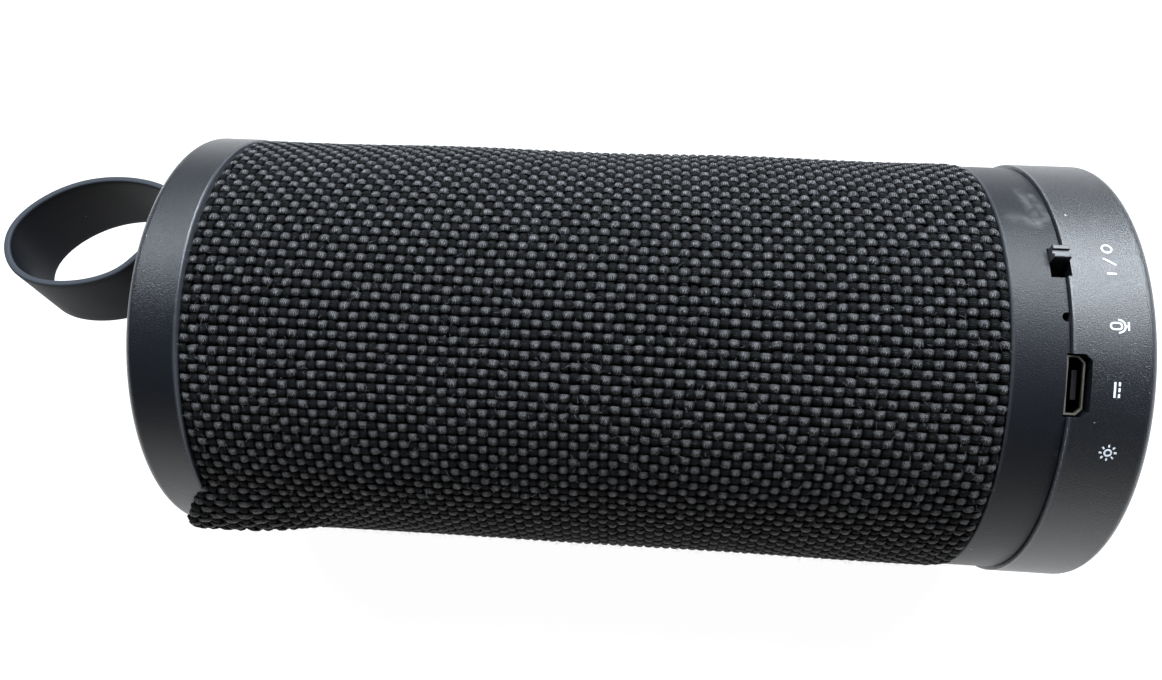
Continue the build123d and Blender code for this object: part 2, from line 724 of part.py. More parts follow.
basket_floor = -(driver_depth - magnet_height)
surround_radius = (driver_bore - 0.1 - cone_radius - 0.1) / 2
surround_centre = cone_radius + 0.1 + surround_radius
for side, along in driver_stations.items():
    with BuildPart() as basket:
        with BuildSketch(level(driver_base)):
            with Locations((along, 0)):
                RectangleRounded(driver_size, driver_size, 4)
                Circle(driver_bore, mode=Mode.SUBTRACT)
                with GridLocations(2 * driver_hole, 2 * driver_hole, 2, 2):
                    Circle(small_screw_radius + fit, mode=Mode.SUBTRACT)
        extrude(amount=driver_flange)
        with BuildSketch(driver_section(along)):
            with BuildLine():
                Polyline(
                    (driver_bore, 0.5), (driver_bore + 1.0, 0.5), (driver_bore + 1.0, -1.0),
                    (magnet_radius + 1.2, basket_floor), (coil_radius + 0.7, basket_floor),
                    (coil_radius + 0.7, basket_floor + 1.0), (magnet_radius + 0.6, basket_floor + 1.0),
                    (driver_bore, -1.0), close=True,
                )
            make_face()
        revolve(axis=driver_axis(along))
        with BuildSketch(level(driver_base + basket_floor + 1.5)):
            with Locations((along, 0)):
                with PolarLocations(13, 4, start_angle=45):
                    Rectangle(9, 8)
        extrude(amount=-basket_floor - 3.5, mode=Mode.SUBTRACT)
    save(basket.part, f"{side}_driver_basket")

    with BuildPart() as magnet:
        with BuildSketch(driver_section(along)):
            with BuildLine():
                Polyline(
                    (0, basket_floor - 0.3), (coil_radius - coil_wall - 0.3, basket_floor - 0.3),
                    (coil_radius - coil_wall - 0.3, -driver_depth + 1.0),
                    (coil_radius + 0.5, -driver_depth + 1.0), (coil_radius + 0.5, basket_floor - glue),
                    (magnet_radius, basket_floor - glue), (magnet_radius, -driver_depth),
                    (0, -driver_depth), close=True,
                )
            make_face()
        revolve(axis=driver_axis(along))
    save(magnet.part, f"{side}_driver_magnet")

    with BuildPart() as cone:
        with BuildSketch(driver_section(along)):
            with BuildLine():
                Polyline(
                    (coil_radius - coil_wall, -driver_depth + 1.0 + cone_travel + 0.5),
                    (coil_radius, -driver_depth + 1.0 + cone_travel + 0.5), (coil_radius, -5.5),
                    (cone_radius, 0.1), (cone_radius, 0.6), (coil_radius - coil_wall, -5.0), close=True,
                )
            make_face()
        revolve(axis=driver_axis(along))
    save(cone.part, f"{side}_driver_cone")

    cap_reach = coil_radius + 0.9
    with BuildPart() as dust_cap:
        with BuildSketch(driver_section(along)):
            with BuildLine():
                Polyline(
                    (0, -2.0), (cap_reach / 2, -2.45), (cap_reach, -3.9), (cap_reach - 0.3, -4.1),
                    (cap_reach / 2 - 0.1, -2.85), (0, -2.4), close=True,
                )
            make_face()
        revolve(axis=driver_axis(along))
    save(dust_cap.part, f"{side}_dust_cap")

    with BuildPart() as surround:
        with BuildSketch(driver_section(along)):
            with Locations((surround_centre, 0.5)):
                Circle(surround_radius)
                Circle(surround_radius - 0.35, mode=Mode.SUBTRACT)
                Rectangle(9, 9, align=(Align.CENTER, Align.MAX), mode=Mode.SUBTRACT)
        revolve(axis=driver_axis(along))
    save(surround.part, f"{side}_driver_surround")

with BuildPart() as driver_gaskets:
    with BuildSketch(level(baffle_top)):
        for along in driver_stations.values():
            with Locations((along, 0)):
                RectangleRounded(driver_size, driver_size, 4)
                Circle(driver_bore + 1.3, mode=Mode.SUBTRACT)
                with GridLocations(2 * driver_hole, 2 * driver_hole, 2, 2):
                    Circle(small_screw_radius + fit, mode=Mode.SUBTRACT)
    extrude(amount=gasket_thickness)
save(driver_gaskets.part, "driver_gaskets")

# ---- Passive radiator between the drivers: frame, roll and weighted plate ----
radiator_height = 1.0
plate_length = radiator_length - 2 * (radiator_rim + radiator_roll)
plate_width = radiator_width - 2 * (radiator_rim + radiator_roll)
with BuildPart() as radiator_frame:
    with BuildSketch(level(baffle_top)):
        with Locations((middle, 0)):
            RectangleRounded(radiator_length, radiator_width, 4)
            RectangleRounded(
                radiator_length - 2 * radiator_rim, radiator_width - 2 * radiator_rim, 3, mode=Mode.SUBTRACT
            )
    extrude(amount=radiator_height)
save(radiator_frame.part, "radiator_frame")

with BuildPart() as radiator_surround:
    with BuildSketch(level(baffle_top + 0.3)):
        with Locations((middle, 0)):
            RectangleRounded(
                radiator_length - 2 * radiator_rim - 0.1, radiator_width - 2 * radiator_rim - 0.1, 3
            )
            RectangleRounded(plate_length + 0.1, plate_width + 0.1, 2, mode=Mode.SUBTRACT)
    extrude(amount=0.5)
save(radiator_surround.part, "radiator_surround")

with BuildPart() as radiator_plate:
    with BuildSketch(level(baffle_top - 0.4)):
        with Locations((middle, 0)):
            RectangleRounded(plate_length, plate_width, 2)
    extrude(amount=1.4)
save(radiator_plate.part, "radiator_plate")

# ---- Battery in the tub's saddles, with a strip of foam tape over it ----
with BuildPart() as battery_cell:
    with BuildSketch(station(middle - cell_length / 2)):
        with Locations((0, cell_height)):
            Circle(cell_radius)
    extrude(amount=cell_length)
    fillet(battery_cell.edges().filter_by(GeomType.CIRCLE), 0.6)
    with BuildSketch(station(middle + cell_length / 2)):
        with Locations((0, cell_height)):
            Circle(cell_radius / 3)
    extrude(amount=cell_terminal)
save(battery_cell.part, "battery_cell")

with BuildPart() as battery_foam:
    with BuildSketch(station(middle + 4)):
        with Locations((0, cell_height)):
            Circle(cell_radius + slip + foam_thickness)
            Circle(cell_radius + slip, mode=Mode.SUBTRACT)
            Rectangle(
                2 * body_radius, body_radius, align=(Align.CENTER, Align.MAX), mode=Mode.SUBTRACT
            )
    extrude(amount=foam_length)
save(battery_foam.part, "battery_foam")
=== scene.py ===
"""Portable bluetooth speaker: the looks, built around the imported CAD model. Metres."""

from math import cos, pi, radians, sin

import bmesh
import bpy
from mathutils import Matrix, Vector


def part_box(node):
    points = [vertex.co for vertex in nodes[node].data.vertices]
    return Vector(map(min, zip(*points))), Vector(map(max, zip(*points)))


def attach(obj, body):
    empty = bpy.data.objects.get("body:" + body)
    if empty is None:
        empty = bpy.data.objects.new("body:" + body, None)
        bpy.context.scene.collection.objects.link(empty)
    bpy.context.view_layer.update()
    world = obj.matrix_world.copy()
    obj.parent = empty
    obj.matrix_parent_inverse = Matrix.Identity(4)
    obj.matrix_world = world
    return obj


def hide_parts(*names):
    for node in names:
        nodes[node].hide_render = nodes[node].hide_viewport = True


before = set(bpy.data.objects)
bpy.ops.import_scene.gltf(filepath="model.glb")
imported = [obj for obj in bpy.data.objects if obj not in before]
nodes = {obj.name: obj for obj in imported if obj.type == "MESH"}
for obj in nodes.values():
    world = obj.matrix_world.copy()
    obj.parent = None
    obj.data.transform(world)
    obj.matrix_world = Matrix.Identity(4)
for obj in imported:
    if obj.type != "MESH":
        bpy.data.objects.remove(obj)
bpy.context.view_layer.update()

# ---- Camera ----
# The speaker lies on its side along X, between two end caps of one radius. The view is from
# above and in front, close to the body, so the near end looks larger.
cap_low, cap_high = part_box("control_cap")
left_low, left_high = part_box("left_end_cap")
cap_radius = (cap_high.z - cap_low.z) / 2
axis_height = cap_low.z + cap_radius
camera_rise = radians(66)
camera_distance = 0.1529
camera_drop = -0.00111
camera_along = left_low.x + 0.0711
toward_camera = Vector((0, -cos(camera_rise), sin(camera_rise)))
below_camera = Vector((0, -sin(camera_rise), -cos(camera_rise)))
look = (Vector((-0.06961, 0, 0)) - 0.99757 * toward_camera).normalized()
down = (Vector((0.04807, 0, 0)) - 0.00335 * toward_camera + 0.99884 * below_camera).normalized()
right = down.cross(look).normalized()

camera = bpy.data.objects.new("camera", bpy.data.cameras.new("camera"))
camera.data.sensor_width = 36.0
camera.data.lens = 28.53
camera.data.clip_start = 0.01
eye = Vector((camera_along, 0, axis_height)) + camera_distance * toward_camera + camera_drop * below_camera
camera.matrix_world = Matrix((
    (right.x, -down.x, -look.x, eye.x),
    (right.y, -down.y, -look.y, eye.y),
    (right.z, -down.z, -look.z, eye.z),
    (0, 0, 0, 1),
))
bpy.context.scene.collection.objects.link(camera)
bpy.context.scene.camera = camera


# ---- Moulded plastic of the end caps and the port ring ----
# Injection-moulded black ABS with a fine spark-eroded grain. Handling has left pale dust in the
# grain, short scuffs and a greasy smear beside the switch. Edges are painted lighter: partly wear, partly a
# painted highlight.
def new_material(name):
    """New material; gives it with its node tree and its Principled shader."""
    material = bpy.data.materials.new(name)
    material.use_nodes = True
    tree = material.node_tree
    shader = tree.nodes["Principled BSDF"]
    return material, tree, shader


def add(tree, kind, settings=None, **inputs):
    """Adds a node; settings are its own values, and inputs are numbers or sockets by name or index."""
    node = tree.nodes.new(kind)
    for key, value in (settings or {}).items():
        setattr(node, key, value)
    for key, value in inputs.items():
        by_index = key[0] == "i" and key[1:].isdigit()
        socket = node.inputs[int(key[1:]) if by_index else key.replace("_", " ")]
        if isinstance(value, bpy.types.NodeSocket):
            tree.links.new(value, socket)
        else:
            socket.default_value = value
    return node


def maths(tree, operation, *values):
    """Math node's output for numbers or sockets."""
    node = tree.nodes.new("ShaderNodeMath")
    node.operation = operation
    for i, value in enumerate(values):
        if isinstance(value, bpy.types.NodeSocket):
            tree.links.new(value, node.inputs[i])
        else:
            node.inputs[i].default_value = value
    return node.outputs[0]


def ramp(tree, value, *stops):
    """Colour ramp of grey levels: stops are (place, level)."""
    node = tree.nodes.new("ShaderNodeValToRGB")
    while len(node.color_ramp.elements) < len(stops):
        node.color_ramp.elements.new(0.5)
    for element, (place, level) in zip(node.color_ramp.elements, stops):
        element.position = place
        element.color = (level, level, level, 1)
    tree.links.new(value, node.inputs[0])
    return node.outputs[0]


def mix(tree, factor, first, second):
    """Colour mix of two colours or sockets."""
    node = tree.nodes.new("ShaderNodeMix")
    node.data_type = "RGBA"
    for socket, value in ((node.inputs[0], factor), (node.inputs[6], first), (node.inputs[7], second)):
        if isinstance(value, bpy.types.NodeSocket):
            tree.links.new(value, socket)
        elif isinstance(value, tuple) and len(value) == 3:
            socket.default_value = (*value, 1)
        else:
            socket.default_value = value
    return node.outputs[2]


def new_group(name, inputs, outputs):
    """Shader node group with float inputs and the outputs named; gives the tree and its end nodes."""
    tree = bpy.data.node_groups.new(name, "ShaderNodeTree")
    for label, default in inputs:
        socket = tree.interface.new_socket(label, in_out="INPUT", socket_type="NodeSocketFloat")
        socket.default_value = default
    for label in outputs:
        tree.interface.new_socket(label, in_out="OUTPUT", socket_type="NodeSocketFloat")
    return tree, tree.nodes.new("NodeGroupInput"), tree.nodes.new("NodeGroupOutput")


# Group of what handling leaves on a surface: grain height, dust specks and scuffs, as masks.
wear, wear_in, wear_out = new_group(
    "wear", [("Grain", 6000.0), ("Dust", 0.5), ("Scuffs", 0.5)], ["Grain", "Dust", "Scuffs", "Clouds"]
)
place = wear.nodes.new("ShaderNodeTexCoord").outputs["Object"]
grain = add(
    wear, "ShaderNodeTexNoise", Vector=place, Scale=wear_in.outputs["Grain"], Detail=2.0, Roughness=0.6
)
wear.links.new(grain.outputs[0], wear_out.inputs["Grain"])
clouds = add(wear, "ShaderNodeTexNoise", Vector=place, Scale=90.0, Detail=4.0, Roughness=0.55)
wear.links.new(clouds.outputs[0], wear_out.inputs["Clouds"])
specks = add(wear, "ShaderNodeTexVoronoi", Vector=place, Scale=620.0)
rare = add(wear, "ShaderNodeSeparateColor", i0=specks.outputs["Color"])
speck = maths(wear, "LESS_THAN", specks.outputs["Distance"], maths(wear, "MULTIPLY", rare.outputs[1], 0.10))
chosen = maths(wear, "GREATER_THAN", rare.outputs[0], 0.90)
amount = maths(wear, "MULTIPLY", maths(wear, "MULTIPLY", speck, chosen), wear_in.outputs["Dust"])
wear.links.new(amount, wear_out.inputs["Dust"])
turned = add(wear, "ShaderNodeMapping", Vector=place, Rotation=(0.4, 0.9, 0.3), Scale=(60.0, 900.0, 300.0))
streaks = add(wear, "ShaderNodeTexNoise", Vector=turned.outputs[0], Scale=1.0, Detail=3.0, Roughness=0.7)
marks = ramp(wear, streaks.outputs[0], (0.70, 0.0), (0.76, 1.0))
scuffs = maths(wear, "MULTIPLY", marks, wear_in.outputs["Scuffs"])
wear.links.new(scuffs, wear_out.inputs["Scuffs"])


def worn(tree, grain_scale, dust, scuffed):
    """The wear group placed in a material, with its own values."""
    node = tree.nodes.new("ShaderNodeGroup")
    node.node_tree = wear
    node.inputs["Grain"].default_value = grain_scale
    node.inputs["Dust"].default_value = dust
    node.inputs["Scuffs"].default_value = scuffed
    return node.outputs


def bump(tree, height, strength, distance):
    """Bump node's normal."""
    node = add(tree, "ShaderNodeBump", Height=height, Strength=strength, Distance=distance)
    return node.outputs[0]


def plastic(
    name, colour, roughness, grain=5200.0, depth=0.00005, dust=0.7, scuffed=0.25, specular=0.5,
    smears=(), rubbed_and_lit=(),
):
    """Moulded plastic with its grain, dust and scuffs. smears are greasy strokes: start, end and
    reach. The rubbed stations are edges along X, in metres, that handling has polished; their
    lighter colour is partly edge wear and partly a painted highlight."""
    material, tree, shader = new_material(name)
    marks = worn(tree, grain, dust, scuffed)
    here = tree.nodes.new("ShaderNodeTexCoord").outputs["Object"]
    base = mix(tree, marks["Dust"], colour, (0.42, 0.42, 0.40))
    base = mix(tree, maths(tree, "MULTIPLY", marks["Scuffs"], 0.25), base, (0.10, 0.10, 0.11))
    rough = maths(tree, "MULTIPLY_ADD", marks["Clouds"], 0.10, roughness - 0.05)
    rough = maths(tree, "MULTIPLY_ADD", marks["Grain"], 0.22, maths(tree, "SUBTRACT", rough, 0.11))
    # Painted highlight, partly edge wear: the edges at these stations are painted a lighter bluish grey, and
    # made glossier.
    for edge in rubbed_and_lit:
        along = add(tree, "ShaderNodeSeparateXYZ", Vector=here).outputs[0]
        away = maths(tree, "ABSOLUTE", maths(tree, "SUBTRACT", along, edge))
        near = add(
            tree, "ShaderNodeMapRange", Value=away, From_Min=0.0, From_Max=0.00040, To_Min=1.0, To_Max=0.0
        )
        uneven = maths(tree, "MULTIPLY_ADD", marks["Clouds"], 0.8, 0.5)
        worn_and_lit_edge = maths(tree, "MULTIPLY", near.outputs[0], uneven)
        base = mix(tree, maths(tree, "MULTIPLY", worn_and_lit_edge, 0.5), base, (0.10, 0.105, 0.12))
        rough = maths(tree, "MULTIPLY_ADD", worn_and_lit_edge, -0.14, rough)
    if smears:
        wisps = add(tree, "ShaderNodeTexNoise", Vector=here, Scale=900.0, Detail=4.0, Roughness=0.6)
        broken = ramp(tree, wisps.outputs[0], (0.34, 0.15), (0.62, 1.0))
    for start, end, reach in smears:
        way = end - start
        kind = "ShaderNodeVectorMath"
        rel = add(tree, kind, {"operation": "SUBTRACT"}, i0=here, i1=tuple(start)).outputs[0]
        share = add(tree, kind, {"operation": "DOT_PRODUCT"}, i0=rel, i1=tuple(way / way.length_squared))
        share = add(tree, "ShaderNodeClamp", Value=share.outputs["Value"]).outputs[0]
        foot = add(tree, kind, {"operation": "SCALE"}, i0=tuple(way), Scale=share).outputs[0]
        away = add(tree, kind, {"operation": "DISTANCE"}, i0=rel, i1=foot).outputs["Value"]
        near = add(tree, "ShaderNodeMapRange", {"interpolation_type": "SMOOTHSTEP"}, Value=away,
                   From_Min=0.0, From_Max=reach, To_Min=1.0, To_Max=0.0).outputs[0]
        film = maths(tree, "MULTIPLY", near, broken)
        base = mix(tree, maths(tree, "MULTIPLY", film, 0.26), base, (0.15, 0.15, 0.145))
        rough = maths(tree, "MULTIPLY_ADD", film, 0.12, rough)
    tree.links.new(base, shader.inputs["Base Color"])
    tree.links.new(rough, shader.inputs["Roughness"])
    tree.links.new(bump(tree, marks["Grain"], 1.0, depth), shader.inputs["Normal"])
    shader.inputs["Specular IOR Level"].default_value = specular
    return material


def on_body(along, angle, radius):
    """Point at a distance along X, an angle in degrees from straight up, and a radius."""
    a = radians(angle)
    return Vector((along, -radius * sin(a), axis_height + radius * cos(a)))


black = (0.0075, 0.0085, 0.011)
end_inset = 0.0006
ring_low, ring_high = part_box("port_ring")
ring_radius = ring_high.z - axis_height


def on_ring(from_left, angle):
    """Point on the port ring, at a distance from the strap end."""
    return on_body(left_low.x + from_left, angle, ring_radius)


smears = [
    (on_ring(*start), on_ring(*end), reach) for start, end, reach in (
        ((0.1224, -29.0), (0.1231, -18.5), 0.0011), ((0.1202, -17.0), (0.1232, -15.2), 0.0015),
        ((0.1232, -15.2), (0.1250, -17.0), 0.0013), ((0.1238, -27.0), (0.1246, -19.0), 0.0009),
    )
]
cap_plastic = plastic(
    "cap_plastic", black, 0.32, depth=0.00006, specular=0.46, rubbed_and_lit=(left_high.x, left_low.x + end_inset)
)
control_plastic = plastic(
    "control_plastic", black, 0.35, grain=6500.0, depth=0.00007, specular=0.72,
    rubbed_and_lit=(cap_low.x, cap_high.x - end_inset),
)
ring_plastic = plastic(
    "ring_plastic", black, 0.41, depth=0.00006, specular=0.26, smears=smears, rubbed_and_lit=(ring_low.x,)
)


def dress(material, *names):
    """Gives CAD nodes a material in place of their own."""
    for name in names:
        for holder in nodes[name].material_slots:
            holder.material = material


dress(cap_plastic, "left_end_cap")
dress(control_plastic, "control_cap")
dress(ring_plastic, "port_ring")

# ---- Woven sleeve ----
# A plain-weave cloth of thick twisted polyester yarn, wrapped round the tube and glued, with its
# edges tucked behind the rings. At the strap end a corner of the lap has come up over the cap.
sleeve_low, sleeve_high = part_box("fabric_sleeve")
sleeve_radius = (sleeve_high.z - sleeve_low.z) / 2
sleeve_start, sleeve_end = sleeve_low.x, sleeve_high.x
sleeve_length = sleeve_end - sleeve_start
yarn_half_width = 0.00060
yarn_half_thickness = 0.00028
yarn_wave = 0.00026
yarns_round = 144
yarns_along = 80
cloth_radius = sleeve_radius - yarn_half_thickness - yarn_wave + 0.0002
# The corner that came up: it rises off the body and is pulled over the cap, up to the lap's
# angle. Angles and their ways are in degrees round the body, the rest in metres along it.
corner_lift = 0.0021
corner_pull = 0.0052
lap_angle, lap_fall = 90, 9
lift_angle, lift_way = 66, 21
pull_angle, pull_way = 61, 27
lift_flat, lift_fade = 0.004, 0.016
pull_fade = 0.011
tuck_depth, tuck_width = 0.00055, 0.0011
ripple_height = 0.00012


def smooth(value):
    """Soft step from 0 to 1."""
    value = min(1.0, max(0.0, value))
    return value * value * (3 - 2 * value)


def cloth_point(round_share, along_share, depth=0.0):
    """Where a point of the wrapped cloth lies, at a depth below its middle."""
    angle = 360.0 * round_share
    along = sleeve_length * along_share
    edge = min(along, sleeve_length - along)
    tuck = tuck_depth * (1 - smooth(edge / tuck_width))
    before_lap = 1 - smooth((angle - lap_angle) / lap_fall)
    side = smooth((angle - lift_angle) / lift_way) * before_lap
    free = side * (1 - smooth((along - lift_flat) / lift_fade))
    turned_back = smooth((angle - pull_angle) / pull_way) ** 1.5 * before_lap
    pull = turned_back * (1 - smooth(along / pull_fade))
    ripple = ripple_height * sin(3 * radians(angle) + 1.3) * sin(pi * along_share * 5)
    radius = cloth_radius - depth - tuck * (1 - side) + corner_lift * free + ripple
    return on_body(sleeve_start + along - corner_pull * pull, angle, radius)


def cloth_mesh(name, depth, across, lengthwise):
    """Grid over the cloth, with its wrap as a UV map. The grid closes on itself round the body."""
    mesh = bpy.data.meshes.new(name)
    points = [
        cloth_point(i / across, j / lengthwise, depth)
        for j in range(lengthwise + 1) for i in range(across + 1)
    ]
    row = across + 1
    faces = [
        (j * row + i, j * row + i + 1, (j + 1) * row + i + 1, (j + 1) * row + i)
        for j in range(lengthwise) for i in range(across)
    ]
    mesh.from_pydata(points, [], faces)
    wrap = mesh.uv_layers.new(name="wrap")
    for loop in mesh.loops:
        j, i = divmod(loop.vertex_index, row)
        wrap.data[loop.index].uv = (i / across, j / lengthwise)
    mesh.polygons.foreach_set("use_smooth", [True] * len(mesh.polygons))
    mesh.update()
    return mesh


def link(name, mesh):
    """New object of a mesh, in the scene."""
    piece = bpy.data.objects.new(name, mesh)
    bpy.context.scene.collection.objects.link(piece)
    return piece


class Fields:
    """Short way to build a Geometry Nodes tree: named inputs, then nodes with their links."""

    def __init__(self, name, inputs):
        self.tree = bpy.data.node_groups.new(name, "GeometryNodeTree")
        face = self.tree.interface
        face.new_socket("Geometry", in_out="INPUT", socket_type="NodeSocketGeometry")
        self.sockets = {}
        for label, kind, default in inputs:
            socket = face.new_socket(label, in_out="INPUT", socket_type="NodeSocket" + kind)
            if default is not None:
                socket.default_value = default
            self.sockets[label] = socket.identifier
        face.new_socket("Geometry", in_out="OUTPUT", socket_type="NodeSocketGeometry")
        self.given = self.tree.nodes.new("NodeGroupInput").outputs
        self.result = self.tree.nodes.new("NodeGroupOutput").inputs[0]

    def node(self, kind, settings=None, **inputs):
        """Adds a node. Inputs are named as its sockets are, with _ for a space, or i0, i1."""
        return add(self.tree, kind, settings, **inputs)

    def math(self, operation, *values):
        return maths(self.tree, operation, *values)

    def finish(self, geometry, material):
        """Realizes, gives the material and ends the tree."""
        real = self.node("GeometryNodeRealizeInstances", Geometry=geometry)
        done = self.node("GeometryNodeSetMaterial", Geometry=real.outputs[0], Material=material)
        self.tree.links.new(done.outputs[0], self.result)

    def bake(self, name, mesh, **values):
        """Runs the tree on a mesh and gives the result as a plain object."""
        holder = link(name, mesh)
        modifier = holder.modifiers.new("made", "NODES")
        modifier.node_group = self.tree
        for label, value in values.items():
            modifier[self.sockets[label.replace("_", " ")]] = value
        evaluated = holder.evaluated_get(bpy.context.evaluated_depsgraph_get())
        made = bpy.data.meshes.new_from_object(evaluated)
        holder.modifiers.remove(modifier)
        holder.data = made
        return holder


def yarn_tree(name, lengthwise, material):
    """Tree that lays yarns on the cloth: along the body, or round it if lengthwise is false.
    The cloth's wrap gives each yarn point its place and normal, and the weave its height."""
    f = Fields(name, [
        ("Yarns", "Int", yarns_round), ("Crossings", "Int", yarns_along),
        ("First", "Int", 0), ("Count", "Int", 48),
        ("Half Width", "Float", yarn_half_width), ("Half Thickness", "Float", yarn_half_thickness),
        ("Wave", "Float", yarn_wave), ("Steps", "Int", 4), ("Seed", "Int", 1),
    ])
    g = f.given
    steps = f.math("MULTIPLY", g["Crossings"], g["Steps"])
    if lengthwise:
        line = f.node("GeometryNodeCurvePrimitiveLine", Start=(0, 0, 0), End=(1, 0, 0))
        count = f.math("ADD", steps, 1)
        run = f.node("GeometryNodeResampleCurve", Curve=line.outputs[0], Count=count).outputs[0]
    else:
        circle = f.node("GeometryNodeCurvePrimitiveCircle", Resolution=steps)
        run = circle.outputs[0]
    share = f.node("GeometryNodeSplineParameter").outputs["Factor"]
    row = f.node("GeometryNodeMeshLine", Count=g["Count"], Start_Location=(0, 0, 0), Offset=(0, 0, 10))
    laid = f.node("GeometryNodeInstanceOnPoints", Points=row.outputs[0], Instance=run)
    real = f.node("GeometryNodeRealizeInstances", Geometry=laid.outputs[0])
    height = f.node("ShaderNodeSeparateXYZ", Vector=f.node("GeometryNodeInputPosition").outputs[0])
    yarn = f.math("ADD", f.math("ROUND", f.math("DIVIDE", height.outputs[2], 10.0)), g["First"])
    keep = f.node("GeometryNodeCaptureAttribute", Geometry=real.outputs[0])
    keep.capture_items.new("FLOAT", "share")
    keep.capture_items.new("FLOAT", "yarn")
    f.tree.links.new(share, keep.inputs["share"])
    f.tree.links.new(yarn, keep.inputs["yarn"])
    share, yarn = keep.outputs["share"], keep.outputs["yarn"]

    crossing = f.math("SUBTRACT", f.math("MULTIPLY", share, g["Crossings"]), 0.5)
    swing = f.math("COSINE", f.math("MULTIPLY", f.math("ADD", crossing, yarn), pi))
    square = f.math("MULTIPLY", swing, swing)
    swing = f.math("MULTIPLY", swing, f.math("MULTIPLY_ADD", square, -0.5, 1.5))
    if not lengthwise:
        swing = f.math("MULTIPLY", swing, -1.0)

    where = f.node("ShaderNodeCombineXYZ", X=f.math("MULTIPLY", share, 40.0), Y=yarn, Z=g["Seed"])
    uneven = f.node("ShaderNodeTexNoise", Vector=where.outputs[0], Scale=1.7, Detail=1.0)
    drift = f.math("MULTIPLY", f.math("SUBTRACT", uneven.outputs[0], 0.5), 0.55)
    aside = f.math("DIVIDE", f.math("ADD", f.math("ADD", yarn, 0.5), drift), g["Yarns"])
    aside = f.node("ShaderNodeClamp", Value=aside, Min=0.0, Max=1.0).outputs[0]
    if lengthwise:
        spot = f.node("ShaderNodeCombineXYZ", X=aside, Y=share)
    else:
        spot = f.node("ShaderNodeCombineXYZ", X=share, Y=aside)
    samples = []
    wrap = f.node("GeometryNodeInputNamedAttribute", {"data_type": "FLOAT_VECTOR"}, Name="wrap")
    for field in ("GeometryNodeInputPosition", "GeometryNodeInputNormal"):
        sample = f.node("GeometryNodeSampleUVSurface", {"data_type": "FLOAT_VECTOR"})
        f.tree.links.new(g["Geometry"], sample.inputs["Mesh"])
        f.tree.links.new(f.node(field).outputs[0], sample.inputs["Value"])
        f.tree.links.new(wrap.outputs[0], sample.inputs["Source UV Map"])
        f.tree.links.new(spot.outputs[0], sample.inputs["Sample UV"])
        samples.append(sample.outputs["Value"])
    ground, normal = samples
    jitter = f.node("ShaderNodeTexNoise", Vector=where.outputs[0], Scale=3.1, Detail=1.0)
    rise = f.math("MULTIPLY", g["Wave"], f.math("MULTIPLY_ADD", jitter.outputs[0], 0.5, 0.75))
    lift = f.math("MULTIPLY", swing, rise)
    lift = f.node("ShaderNodeVectorMath", {"operation": "SCALE"}, i0=normal, Scale=lift)
    end = f.node("ShaderNodeVectorMath", {"operation": "ADD"}, i0=ground, i1=lift.outputs[0])
    placed = f.node("GeometryNodeSetPosition", Geometry=keep.outputs[0], Position=end.outputs[0])
    faced = f.node("GeometryNodeSetCurveNormal", {"mode": "FREE"}, Curve=placed.outputs[0], Normal=normal)
    swell = f.math("MULTIPLY_ADD", swing, 0.13, 0.94)
    swell = f.math("MULTIPLY", swell, f.math("MULTIPLY_ADD", uneven.outputs[0], 0.3, 0.85))
    sized = f.node("GeometryNodeSetCurveRadius", Curve=faced.outputs[0], Radius=swell)

    section = f.node("GeometryNodeCurvePrimitiveCircle", Resolution=6, Radius=1.0)
    size = f.node("ShaderNodeCombineXYZ", X=g["Half Thickness"], Y=g["Half Width"], Z=1.0)
    flat = f.node("GeometryNodeTransform", Geometry=section.outputs[0], Scale=size.outputs[0])
    round_keep = f.node("GeometryNodeCaptureAttribute", Geometry=flat.outputs[0])
    round_keep.capture_items.new("FLOAT", "turn")
    round_keep.capture_items.new("FLOAT", "crown")
    f.tree.links.new(f.node("GeometryNodeSplineParameter").outputs["Factor"], round_keep.inputs["turn"])
    over = f.node("ShaderNodeSeparateXYZ", Vector=f.node("GeometryNodeInputPosition").outputs[0])
    crown = f.math("DIVIDE", over.outputs[0], g["Half Thickness"])
    f.tree.links.new(crown, round_keep.inputs["crown"])
    tube = f.node(
        "GeometryNodeCurveToMesh", Curve=sized.outputs[0], Profile_Curve=round_keep.outputs[0], Fill_Caps=True
    )
    if "Scale" in tube.inputs:
        f.tree.links.new(swell, tube.inputs["Scale"])
    thread = f.node("ShaderNodeCombineXYZ", X=crossing, Y=round_keep.outputs["turn"], Z=yarn)
    stored = f.node(
        "GeometryNodeStoreNamedAttribute", {"data_type": "FLOAT_VECTOR", "domain": "POINT"},
        Geometry=tube.outputs[0], Name="thread", Value=thread.outputs[0],
    )
    stored = f.node(
        "GeometryNodeStoreNamedAttribute", {"data_type": "FLOAT", "domain": "POINT"},
        Geometry=stored.outputs[0], Name="crown", Value=round_keep.outputs["crown"],
    )
    soft = f.node("GeometryNodeSetShadeSmooth", Geometry=stored.outputs[0])
    f.finish(soft.outputs[0], material)
    return f
